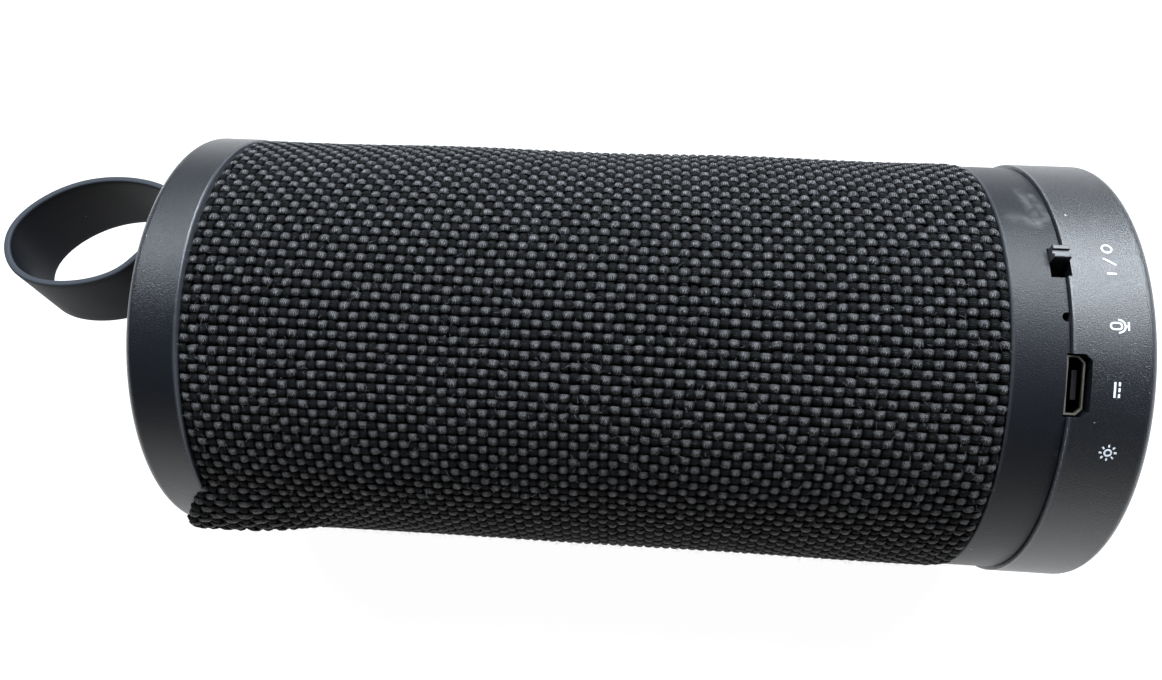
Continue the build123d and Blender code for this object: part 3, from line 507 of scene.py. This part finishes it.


# Yarn: black filaments twisted together. The twist crosses the yarn as short slanting ridges.
# Some filaments are painted lighter, only on the crest of each float and the crown of its yarn: a painted
# highlight.
def yarn_material(name, colour, highlight, roughness, specular, bright_from, bright_to, over):
    """Twisted yarn, from the thread attribute: crossings along it, share round it, and its number.
    Filaments brighten between two levels of their noise; highlight is a painted highlight colour laid
    on the crown of each float. over is 1 or -1: which crossings are on top."""
    material, tree, shader = new_material(name)
    thread = add(tree, "ShaderNodeAttribute", {"attribute_name": "thread"}).outputs["Vector"]
    parts = add(tree, "ShaderNodeSeparateXYZ", Vector=thread)
    along, turn, yarn = parts.outputs
    slant = maths(tree, "MULTIPLY_ADD", along, 4.6, maths(tree, "MULTIPLY", turn, 2.0))
    where = add(tree, "ShaderNodeCombineXYZ", X=slant, Y=maths(tree, "MULTIPLY", turn, 5.0), Z=yarn)
    strands = add(tree, "ShaderNodeTexNoise", Vector=where.outputs[0], Scale=1.3, Detail=2.0, Roughness=0.7)
    ridges = maths(tree, "SINE", maths(tree, "MULTIPLY", slant, 2 * pi))
    height = maths(tree, "MULTIPLY_ADD", ridges, 0.35, strands.outputs[0])
    glint = maths(tree, "MULTIPLY_ADD", ridges, 0.10, strands.outputs[0])
    glint = ramp(tree, glint, (bright_from, 0.0), (bright_to, 1.0))
    # Painted highlight: the lighter filaments show only on the crest of each float and on the crown of its
    # yarn, where the lamp's highlight falls.
    crest = maths(tree, "COSINE", maths(tree, "MULTIPLY", maths(tree, "ADD", along, yarn), pi))
    crest = ramp(tree, maths(tree, "MULTIPLY", crest, over), (0.15, 0.0), (0.85, 1.0))
    crown = add(tree, "ShaderNodeAttribute", {"attribute_name": "crown"}).outputs["Fac"]
    crown = ramp(tree, crown, (0.15, 0.0), (0.90, 1.0))
    glint = maths(tree, "MULTIPLY", glint, maths(tree, "MULTIPLY", crest, crown))
    base = mix(tree, glint, colour, highlight)
    tree.links.new(base, shader.inputs["Base Color"])
    tree.links.new(maths(tree, "MULTIPLY_ADD", glint, -0.2, roughness), shader.inputs["Roughness"])
    tree.links.new(bump(tree, height, 1.0, 0.00009), shader.inputs["Normal"])
    shader.inputs["Specular IOR Level"].default_value = specular
    return material


long_yarn = yarn_material(
    "long_yarn", (0.008, 0.008, 0.009), (0.168, 0.168, 0.174), roughness=0.58, specular=0.22,
    bright_from=0.46, bright_to=0.64, over=1.0,
)
# Painted shade: the yarns round the body are painted darker than those along it, with a fainter painted
# highlight, because the lamp catches them less.
shaded_cross_yarn = yarn_material(
    "shaded_cross_yarn", (0.002, 0.002, 0.0022), (0.028, 0.030, 0.035), roughness=0.75, specular=0.08,
    bright_from=0.56, bright_to=0.74, over=-1.0,
)

cloth = cloth_mesh("cloth_surface", depth=0.0, across=288, lengthwise=120)
steps_per_crossing = 4
parts = 3
woven = []
for label, lengthwise, yarn, total, crossings in (
    ("long_yarns", True, long_yarn, yarns_round, yarns_along),
    ("cross_yarns", False, shaded_cross_yarn, yarns_along, yarns_round),
):
    laid = yarn_tree(label, lengthwise, yarn)
    each = -(-total // parts)
    for part in range(parts):
        count = min(each, total - part * each)
        woven.append(laid.bake(
            f"{label}_{part + 1}", cloth.copy(), Yarns=total, Crossings=crossings,
            First=part * each, Count=count, Steps=steps_per_crossing,
        ))

# Fuzz: loose filament ends that lie over the yarns and stand out a little all over the cloth.
fuzz_fibre, tree, shader = new_material("fuzz_fibre")
marks = worn(tree, 3000.0, 0.0, 0.0)
pale = mix(tree, marks["Clouds"], (0.04, 0.04, 0.043), (0.22, 0.22, 0.23))
tree.links.new(pale, shader.inputs["Base Color"])
shader.inputs["Roughness"].default_value = 0.5
f = Fields("fuzz", [
    ("Per Area", "Float", 450000.0), ("Length", "Float", 0.0008), ("Half Thickness", "Float", 0.000013),
    ("Above", "Float", 0.00046), ("Seed", "Int", 5),
])
g = f.given
ends = f.node(
    "GeometryNodeDistributePointsOnFaces", Mesh=g["Geometry"], Density=g["Per Area"], Seed=g["Seed"]
)
out = f.node("ShaderNodeVectorMath", {"operation": "SCALE"}, i0=ends.outputs["Normal"], Scale=g["Above"])
keep = f.node("GeometryNodeCaptureAttribute", Geometry=ends.outputs["Points"])
keep.capture_items.new("VECTOR", "normal")
f.tree.links.new(ends.outputs["Normal"], keep.inputs["normal"])
ends = f.node("GeometryNodeSetPosition", Geometry=keep.outputs[0], Offset=out.outputs[0])
sway = f.node(
    "FunctionNodeRandomValue", {"data_type": "FLOAT_VECTOR"}, Min=(-1, -1, -1), Max=(1, 1, 1), Seed=g["Seed"]
)
stand = f.node("ShaderNodeVectorMath", {"operation": "MULTIPLY_ADD"},
               i0=keep.outputs["normal"], i1=(0.35, 0.35, 0.35), i2=sway.outputs[0])
lean = f.node("FunctionNodeAlignRotationToVector", {"axis": "Z"}, Vector=stand.outputs[0])
hair = f.node("GeometryNodeCurvePrimitiveLine", End=f.node("ShaderNodeCombineXYZ", Z=g["Length"]).outputs[0])
hair = f.node("GeometryNodeResampleCurve", Curve=hair.outputs[0], Count=3)
next_seed = f.math("ADD", g["Seed"], 1)
long = f.node("FunctionNodeRandomValue", {"data_type": "FLOAT"}, i2=0.4, i3=1.3, Seed=next_seed)
laid = f.node("GeometryNodeInstanceOnPoints", Points=ends.outputs[0], Instance=hair.outputs[0],
              Rotation=lean.outputs[0], Scale=long.outputs[1])
laid = f.node("GeometryNodeRealizeInstances", Geometry=laid.outputs[0])
place = f.node("GeometryNodeInputPosition").outputs[0]
curl = f.node("ShaderNodeTexNoise", Vector=place, Scale=1800.0, Detail=1.0)
curl = f.node("ShaderNodeVectorMath", {"operation": "SUBTRACT"}, i0=curl.outputs["Color"], i1=(0.5, 0.5, 0.5))
curl = f.node("ShaderNodeVectorMath", {"operation": "SCALE"}, i0=curl.outputs[0], Scale=0.0006)
bent = f.node("GeometryNodeSetPosition", Geometry=laid.outputs[0], Offset=curl.outputs[0])
spot = f.node("ShaderNodeSeparateXYZ", Vector=place).outputs
above_floor = 0.00005
spot = f.node("ShaderNodeCombineXYZ", X=spot[0], Y=spot[1], Z=f.math("MAXIMUM", spot[2], above_floor))
bent = f.node("GeometryNodeSetPosition", Geometry=bent.outputs[0], Position=spot.outputs[0])
section = f.node("GeometryNodeCurvePrimitiveCircle", Resolution=3, Radius=g["Half Thickness"])
tube = f.node(
    "GeometryNodeCurveToMesh", Curve=bent.outputs[0], Profile_Curve=section.outputs[0], Fill_Caps=True
)
f.finish(tube.outputs[0], fuzz_fibre)
fuzz = f.bake("fuzz", cloth.copy())

# The backing under the yarns is the cloth's glued scrim; it stands for the sleeve.
backing, tree, shader = new_material("sleeve_backing")
marks = worn(tree, 3000.0, 0.4, 0.0)
dark = mix(tree, marks["Clouds"], (0.003, 0.003, 0.003), (0.008, 0.008, 0.008))
tree.links.new(dark, shader.inputs["Base Color"])
shader.inputs["Roughness"].default_value = 0.9
mesh = cloth_mesh("sleeve_backing", depth=0.00030, across=216, lengthwise=60)
work = bmesh.new()
work.from_mesh(mesh)
bmesh.ops.remove_doubles(work, verts=work.verts, dist=0.000001)
work.to_mesh(mesh)
work.free()
sleeve = link("sleeve_backing", mesh)
solid = sleeve.modifiers.new("thickness", "SOLIDIFY")
solid.thickness = 0.00012
sleeve.data.materials.append(backing)
evaluated = sleeve.evaluated_get(bpy.context.evaluated_depsgraph_get())
sleeve.data = bpy.data.meshes.new_from_object(evaluated)
sleeve.modifiers.clear()
for piece in [sleeve, fuzz, *woven]:
    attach(piece, "speaker")
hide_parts("fabric_sleeve")

# ---- Wrist strap ----
# One flat band of dyed silicone bent into a loop, with rounded edges. Both its ends go through
# the slot in the strap-end cap and are clamped inside.
strap_edge = 0.00042
mesh = bpy.data.meshes.new("strap_band")
work = bmesh.new()
work.from_mesh(nodes["strap"].data)
bmesh.ops.remove_doubles(work, verts=work.verts, dist=0.000002)
flats = [f for f in work.faces if abs(f.normal.z) > 0.99]
bmesh.ops.dissolve_faces(work, faces=flats)
outline = [e for e in work.edges if len(e.link_faces) == 2 and e.calc_face_angle(0) > radians(60)
           and any(abs(f.normal.z) > 0.99 for f in e.link_faces)]
bmesh.ops.bevel(
    work, geom=outline, offset=strap_edge, segments=4, profile=0.5, affect="EDGES", clamp_overlap=True
)
bmesh.ops.triangulate(work, faces=[f for f in work.faces if len(f.verts) > 4])
for face in work.faces:
    face.smooth = True
work.to_mesh(mesh)
work.free()
mesh.set_sharp_from_angle(angle=radians(40))
strap_band = link("strap_band", mesh)

silicone, tree, shader = new_material("silicone")
marks = worn(tree, 2600.0, 0.9, 0.1)
strap_low, strap_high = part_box("strap")
place = tree.nodes.new("ShaderNodeTexCoord").outputs["Object"]
rise = add(tree, "ShaderNodeSeparateXYZ", Vector=place).outputs[2]
away = maths(tree, "ABSOLUTE", maths(tree, "SUBTRACT", rise, (strap_low.z + strap_high.z) / 2))
half_width = (strap_high.z - strap_low.z) / 2
# Painted highlight, partly wear: both edges of the band are painted a lighter grey-blue.
rubbed_and_lit = add(
    tree, "ShaderNodeMapRange", Value=away, From_Min=half_width - 0.0005, From_Max=half_width - 0.0001
)
tint = mix(tree, marks["Clouds"], (0.0016, 0.0024, 0.0046), (0.0034, 0.0045, 0.0070))
tint = mix(tree, rubbed_and_lit.outputs[0], tint, (0.032, 0.036, 0.043))
tree.links.new(mix(tree, marks["Dust"], tint, (0.16, 0.17, 0.18)), shader.inputs["Base Color"])
tree.links.new(maths(tree, "MULTIPLY_ADD", marks["Clouds"], 0.2, 0.42), shader.inputs["Roughness"])
shader.inputs["Specular IOR Level"].default_value = 0.10
tree.links.new(bump(tree, marks["Grain"], 0.6, 0.00004), shader.inputs["Normal"])
mesh.materials.clear()
mesh.materials.append(silicone)
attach(strap_band, "speaker")
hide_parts("strap")

# ---- Slide switch ----
# A dark grey moulded knob with two finger ridges. It stands in a slot at the parting of the
# ring and the control cap, and slides with the switch behind it.
grey = (0.05, 0.05, 0.053)
knob_plastic = plastic("knob_plastic", grey, 0.45, dust=0.3, scuffed=0.6)
dress(knob_plastic, "switch_knob")

# ---- Plug socket ----
# A shell of folded, nickel-plated steel with a warm tint, round a black moulded tongue. Its
# mouth stands in an opening at the parting. The small parts inside are of the same black plastic.
def metal(name, colour, roughness):
    """Bare or plated metal with fine draw lines along X."""
    material, tree, shader = new_material(name)
    here = tree.nodes.new("ShaderNodeTexCoord").outputs["Object"]
    drawn = add(tree, "ShaderNodeMapping", Vector=here, Scale=(90.0, 4000.0, 4000.0))
    fine = add(tree, "ShaderNodeTexNoise", Vector=drawn.outputs[0], Scale=1.0, Detail=3.0, Roughness=0.6)
    marks = worn(tree, 5000.0, 0.2, 0.4)
    dull = tuple(0.6 * c for c in colour)
    tree.links.new(mix(tree, marks["Clouds"], colour, dull), shader.inputs["Base Color"])
    rough = maths(tree, "MULTIPLY_ADD", fine.outputs[0], 0.12, roughness)
    tree.links.new(rough, shader.inputs["Roughness"])
    tree.links.new(bump(tree, fine.outputs[0], 0.4, 0.00002), shader.inputs["Normal"])
    shader.inputs["Metallic"].default_value = 1.0
    return material


socket_steel = metal("socket_steel", (0.92, 0.84, 0.72), 0.30)
tree = socket_steel.node_tree
shader = tree.nodes["Principled BSDF"]
# Painted shade: inside the mouth, deeper than its rim, the plating is painted near black where the shell
# shades itself.
place = add(tree, "ShaderNodeSeparateXYZ", Vector=tree.nodes.new("ShaderNodeTexCoord").outputs["Object"])
rise = maths(tree, "SUBTRACT", place.outputs[2], axis_height)
squares = [maths(tree, "POWER", value, 2.0) for value in (rise, place.outputs[1])]
reach = maths(tree, "SQRT", maths(tree, "ADD", *squares))
mouth_radius = cap_radius - 0.0008
rim = add(
    tree, "ShaderNodeMapRange", Value=reach, From_Min=mouth_radius - 0.0005, From_Max=mouth_radius - 0.0001
)
plating_colour = shader.inputs["Base Color"].links[0].from_socket
tree.links.new(mix(tree, rim.outputs[0], (0.015, 0.013, 0.011), plating_colour), shader.inputs["Base Color"])
dress(socket_steel, "usb_shell")
socket_plastic = plastic("socket_plastic", (0.004, 0.004, 0.004), 0.5, dust=0.0, scuffed=0.0)
dress(socket_plastic, "usb_tongue", "switch_body", "key_switches", "minus_key_stem", "play_key_stem",
      "plus_key_stem", "board_chips")

# ---- Printed marks on the control cap ----
# Small white pad-printed pictograms beside the controls: power, microphone, charging current
# and light. Each is a thin film of ink that follows the cap's curve.
ink, tree, shader = new_material("white_ink")
marks = worn(tree, 4000.0, 0.0, 0.5)
white = mix(tree, marks["Clouds"], (0.62, 0.64, 0.70), (0.78, 0.80, 0.85))
tree.links.new(white, shader.inputs["Base Color"])
shader.inputs["Roughness"].default_value = 0.55
ink_film = 0.00003
pen = 0.00011


def stroke(points, closed=False, half=pen):
    """Corners of the quads along a drawn line; points are (across, up) in metres."""
    count = len(points)
    sides = []
    for i, point in enumerate(points):
        before = Vector(points[(i - 1) % count] if closed or i else points[i])
        after = Vector(points[(i + 1) % count] if closed or i < count - 1 else points[i])
        way = (after - before).normalized()
        out = Vector((-way.y, way.x)) * half
        sides.append((Vector(point) + out, Vector(point) - out))
    following = sides[1:] + sides[:1] if closed else sides[1:]
    return [(here[0], here[1], there[1], there[0]) for here, there in zip(sides, following)]


def ring(centre, radius, corners=20):
    """Points of a circle."""
    turns = [2 * pi * i / corners for i in range(corners)]
    return [(centre[0] + radius * cos(a), centre[1] + radius * sin(a)) for a in turns]


def split(first, second, parts=6):
    """Points of a straight line, close enough together to bend round the cap."""
    return [tuple(Vector(first).lerp(Vector(second), i / parts)) for i in range(parts + 1)]


def printed(name, patches, body, lay):
    """Ink film of quads; lay turns a drawn point and a height into a place on the object."""
    mesh = bpy.data.meshes.new(name)
    work = bmesh.new()
    for patch in patches:
        top = [work.verts.new(lay(p, ink_film)) for p in patch]
        foot = [work.verts.new(lay(p, -ink_film)) for p in patch]
        facing = (top[1].co - top[0].co).cross(top[2].co - top[1].co)
        if facing.dot(top[0].co - foot[0].co) < 0:
            top.reverse()
            foot.reverse()
        work.faces.new(top)
        work.faces.new(foot[::-1])
        for i in range(len(patch)):
            work.faces.new((top[i - 1], foot[i - 1], foot[i], top[i]))
    work.to_mesh(mesh)
    work.free()
    mesh.materials.append(ink)
    mark = link(name, mesh)
    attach(mark, body)


def on_cap(along, angle):
    """Lays a mark on the control cap: it reads upwards, with its top towards the ring."""
    def lay(point, height):
        turn = angle - point[0] / cap_radius * 180 / pi
        return on_body(along - point[1], turn, cap_radius + height)
    return lay


mm = 0.001
mark_station = cap_low.x + 5.5 * mm


def arc(radius, rise, start, end, step):
    """Points of an arc whose centre is raised: sizes in millimetres, angles in whole degrees."""
    turns = [radians(t) for t in range(start, end, step)]
    return [(radius * mm * cos(a), rise * mm + radius * mm * sin(a)) for a in turns]


power = (
    stroke(split((-2.2 * mm, -0.6 * mm), (-2.2 * mm, 0.6 * mm)))
    + stroke(split((-0.9 * mm, -0.75 * mm), (0.1 * mm, 0.75 * mm)))
    + stroke(ring((1.6 * mm, 0), 0.6 * mm), closed=True)
)
capsule = arc(0.42, 0.45, 0, 181, 20) + arc(0.42, -0.1, 180, 361, 20)
cradle = arc(0.85, -0.1, 180, 361, 18)
microphone_mark = (
    stroke(capsule, closed=True) + stroke(cradle)
    + stroke(split((0, -0.95 * mm), (0, -1.35 * mm), 2))
    + stroke(split((-0.55 * mm, -1.35 * mm), (0.55 * mm, -1.35 * mm)))
)
current = stroke(split((-1.0 * mm, 0.25 * mm), (1.0 * mm, 0.25 * mm)), half=1.2 * pen)
for start in (-1.0, -0.25, 0.5):
    current += stroke(split((start * mm, -0.3 * mm), ((start + 0.5) * mm, -0.3 * mm), 2), half=1.2 * pen)
light = stroke(ring((0, 0), 0.42 * mm), closed=True)
for i in range(8):
    a = pi * i / 4
    light += stroke([(0.75 * mm * cos(a), 0.75 * mm * sin(a)), (1.1 * mm * cos(a), 1.1 * mm * sin(a))])
for name, patches, angle in (
    ("power_mark", power, -3.9), ("microphone_mark", microphone_mark, 12.9),
    ("current_mark", current, 27.5), ("light_mark", light, 42.4),
):
    printed(name, patches, "speaker", on_cap(mark_station, angle))

# ---- End panel and its push buttons ----
# The panel is a glossier disc glued into the control cap. The three buttons are matt, with a
# printed minus, a play triangle and a plus.
trim_plastic = plastic("trim_plastic", (0.008, 0.008, 0.009), 0.24, depth=0.00003)
button_plastic = plastic("button_plastic", (0.014, 0.014, 0.015), 0.5)
dress(trim_plastic, "left_trim_disc", "control_panel")
dress(button_plastic, "minus_button", "play_button", "plus_button")


def on_button(node):
    """Lays a mark on the middle of a button's front, read from the control end."""
    low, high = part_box(node)
    centre = (low + high) / 2

    def lay(point, height):
        return Vector((high.x + height, centre.y + point[0], centre.z + point[1]))
    return lay


bar = stroke(split((-1.6 * mm, 0), (1.6 * mm, 0), 2), half=2 * pen)
post = stroke(split((0, -1.6 * mm), (0, -2 * pen), 2), half=2 * pen)
post += stroke(split((0, 2 * pen), (0, 1.6 * mm), 2), half=2 * pen)
triangle = [(-1.2 * mm, 1.5 * mm), (-1.2 * mm, -1.5 * mm), (1.6 * mm, 0)]
printed("minus_mark", bar, "minus_key", on_button("minus_button"))
printed("play_mark", stroke(triangle, closed=True, half=1.5 * pen), "play_key", on_button("play_button"))
printed("plus_mark", bar + post, "plus_key", on_button("plus_button"))

# ---- Inside ----
# Moulded tub, baffle and bulkheads, two drivers with a passive radiator between them, the cell
# in its saddles and the board behind the control cap. Their finishes show only when it is opened.
inner_plastic = plastic("inner_plastic", (0.02, 0.02, 0.021), 0.5, grain=2500.0, dust=0.0, scuffed=0.4)
dress(inner_plastic, "acoustic_tub", "baffle_plate", "grille_cover", "left_bulkhead", "right_bulkhead",
      "strap_clamp", "radiator_frame", "left_driver_basket", "right_driver_basket")
zinc = metal("zinc_plate", (0.62, 0.62, 0.64), 0.30)
dress(zinc, "left_cap_screws", "control_cap_screws", "strap_screws", "baffle_screws")
dress(zinc, "left_driver_magnet", "right_driver_magnet")
dress(metal("microphone_can", (0.78, 0.78, 0.78), 0.35), "microphone")
rubber = plastic("rubber", (0.008, 0.008, 0.008), 0.55, grain=1800.0, dust=0.2, scuffed=0.0)
dress(rubber, "left_driver_surround", "right_driver_surround", "radiator_surround", "driver_gaskets")
dress(plastic("weight_paint", (0.02, 0.02, 0.02), 0.6, grain=4200.0, dust=0.0), "radiator_plate")
dress(plastic("cell_wrap", (0.02, 0.09, 0.28), 0.25, grain=900.0, depth=0.00003, dust=0.0), "battery_cell")
dress(plastic("foam", (0.012, 0.012, 0.012), 0.95, grain=1500.0, depth=0.0004, dust=0.0), "battery_foam")

paper, tree, shader = new_material("cone_paper")
here = tree.nodes.new("ShaderNodeTexCoord").outputs["Object"]
fibres = add(tree, "ShaderNodeTexNoise", Vector=here, Scale=900.0, Detail=6.0, Roughness=0.75, Distortion=2.0)
pulp = mix(tree, fibres.outputs[0], (0.008, 0.008, 0.008), (0.035, 0.034, 0.032))
tree.links.new(pulp, shader.inputs["Base Color"])
tree.links.new(bump(tree, fibres.outputs[0], 0.7, 0.0001), shader.inputs["Normal"])
shader.inputs["Roughness"].default_value = 0.8
dress(paper, "left_driver_cone", "right_driver_cone", "left_dust_cap", "right_dust_cap")

mask, tree, shader = new_material("board_mask")
here = tree.nodes.new("ShaderNodeTexCoord").outputs["Object"]
tracks = add(tree, "ShaderNodeTexVoronoi", {"distance": "MANHATTAN"}, Vector=here, Scale=420.0)
copper = ramp(tree, tracks.outputs["Distance"], (0.45, 0.0), (0.5, 1.0))
tree.links.new(mix(tree, copper, (0.006, 0.07, 0.025), (0.012, 0.14, 0.05)), shader.inputs["Base Color"])
tree.links.new(bump(tree, copper, 0.5, 0.00003), shader.inputs["Normal"])
shader.inputs["Roughness"].default_value = 0.3
dress(mask, "main_board")

clear, tree, shader = new_material("clear_pipe")
here = tree.nodes.new("ShaderNodeTexCoord").outputs["Object"]
haze = add(tree, "ShaderNodeTexNoise", Vector=here, Scale=1500.0, Detail=2.0)
tree.links.new(maths(tree, "MULTIPLY_ADD", haze.outputs[0], 0.3, 0.25), shader.inputs["Roughness"])
shader.inputs["Base Color"].default_value = (0.10, 0.11, 0.12, 1)
dress(clear, "led_light_pipe", "status_led")

# ---- Floor and light ----
# A white light table, so that nothing under the object goes grey, and one long soft lamp over
# and behind the body. The room in front is dark.
floor_mesh = bpy.data.meshes.new("floor")
floor_mesh.from_pydata([(-3, -3, 0), (3, -3, 0), (3, 3, 0), (-3, 3, 0)], [], [(0, 1, 2, 3)])
floor = link("floor", floor_mesh)
floor_paint, tree, shader = new_material("floor_paint")
shader.inputs["Base Color"].default_value = (0.12, 0.12, 0.12, 1)
shader.inputs["Roughness"].default_value = 0.8
shader.inputs["Emission Color"].default_value = (1, 1, 1, 1)
shader.inputs["Emission Strength"].default_value = 0.98
floor_mesh.materials.append(floor_paint)


def soft_lamp(name, place, aim, size, power, colour):
    """Flat soft lamp at a place, aimed at a point."""
    lamp = bpy.data.objects.new(name, bpy.data.lights.new(name, "AREA"))
    lamp.data.shape = "RECTANGLE"
    lamp.data.size, lamp.data.size_y = size
    lamp.data.energy = power
    lamp.data.color = colour
    lamp.location = place
    lamp.rotation_mode = "QUATERNION"
    lamp.rotation_quaternion = (Vector(aim) - Vector(place)).to_track_quat("-Z", "Y")
    bpy.context.scene.collection.objects.link(lamp)


middle = (0.02, 0, 0.03)
soft_lamp("lamp_long", (0.20, 0.37, 0.60), middle, (0.90, 0.26), 21.0, (0.86, 0.93, 1.0))
soft_lamp("lamp_left", (-0.37, 0.17, 0.55), middle, (0.18, 0.12), 2.4, (0.86, 0.93, 1.0))

world = bpy.data.worlds.new("room")
bpy.context.scene.world = world
world.use_nodes = True
world.node_tree.nodes["Background"].inputs["Color"].default_value = (0.9, 0.95, 1.0, 1)
world.node_tree.nodes["Background"].inputs["Strength"].default_value = 0.02
bpy.context.scene.view_settings.view_transform = "Standard"
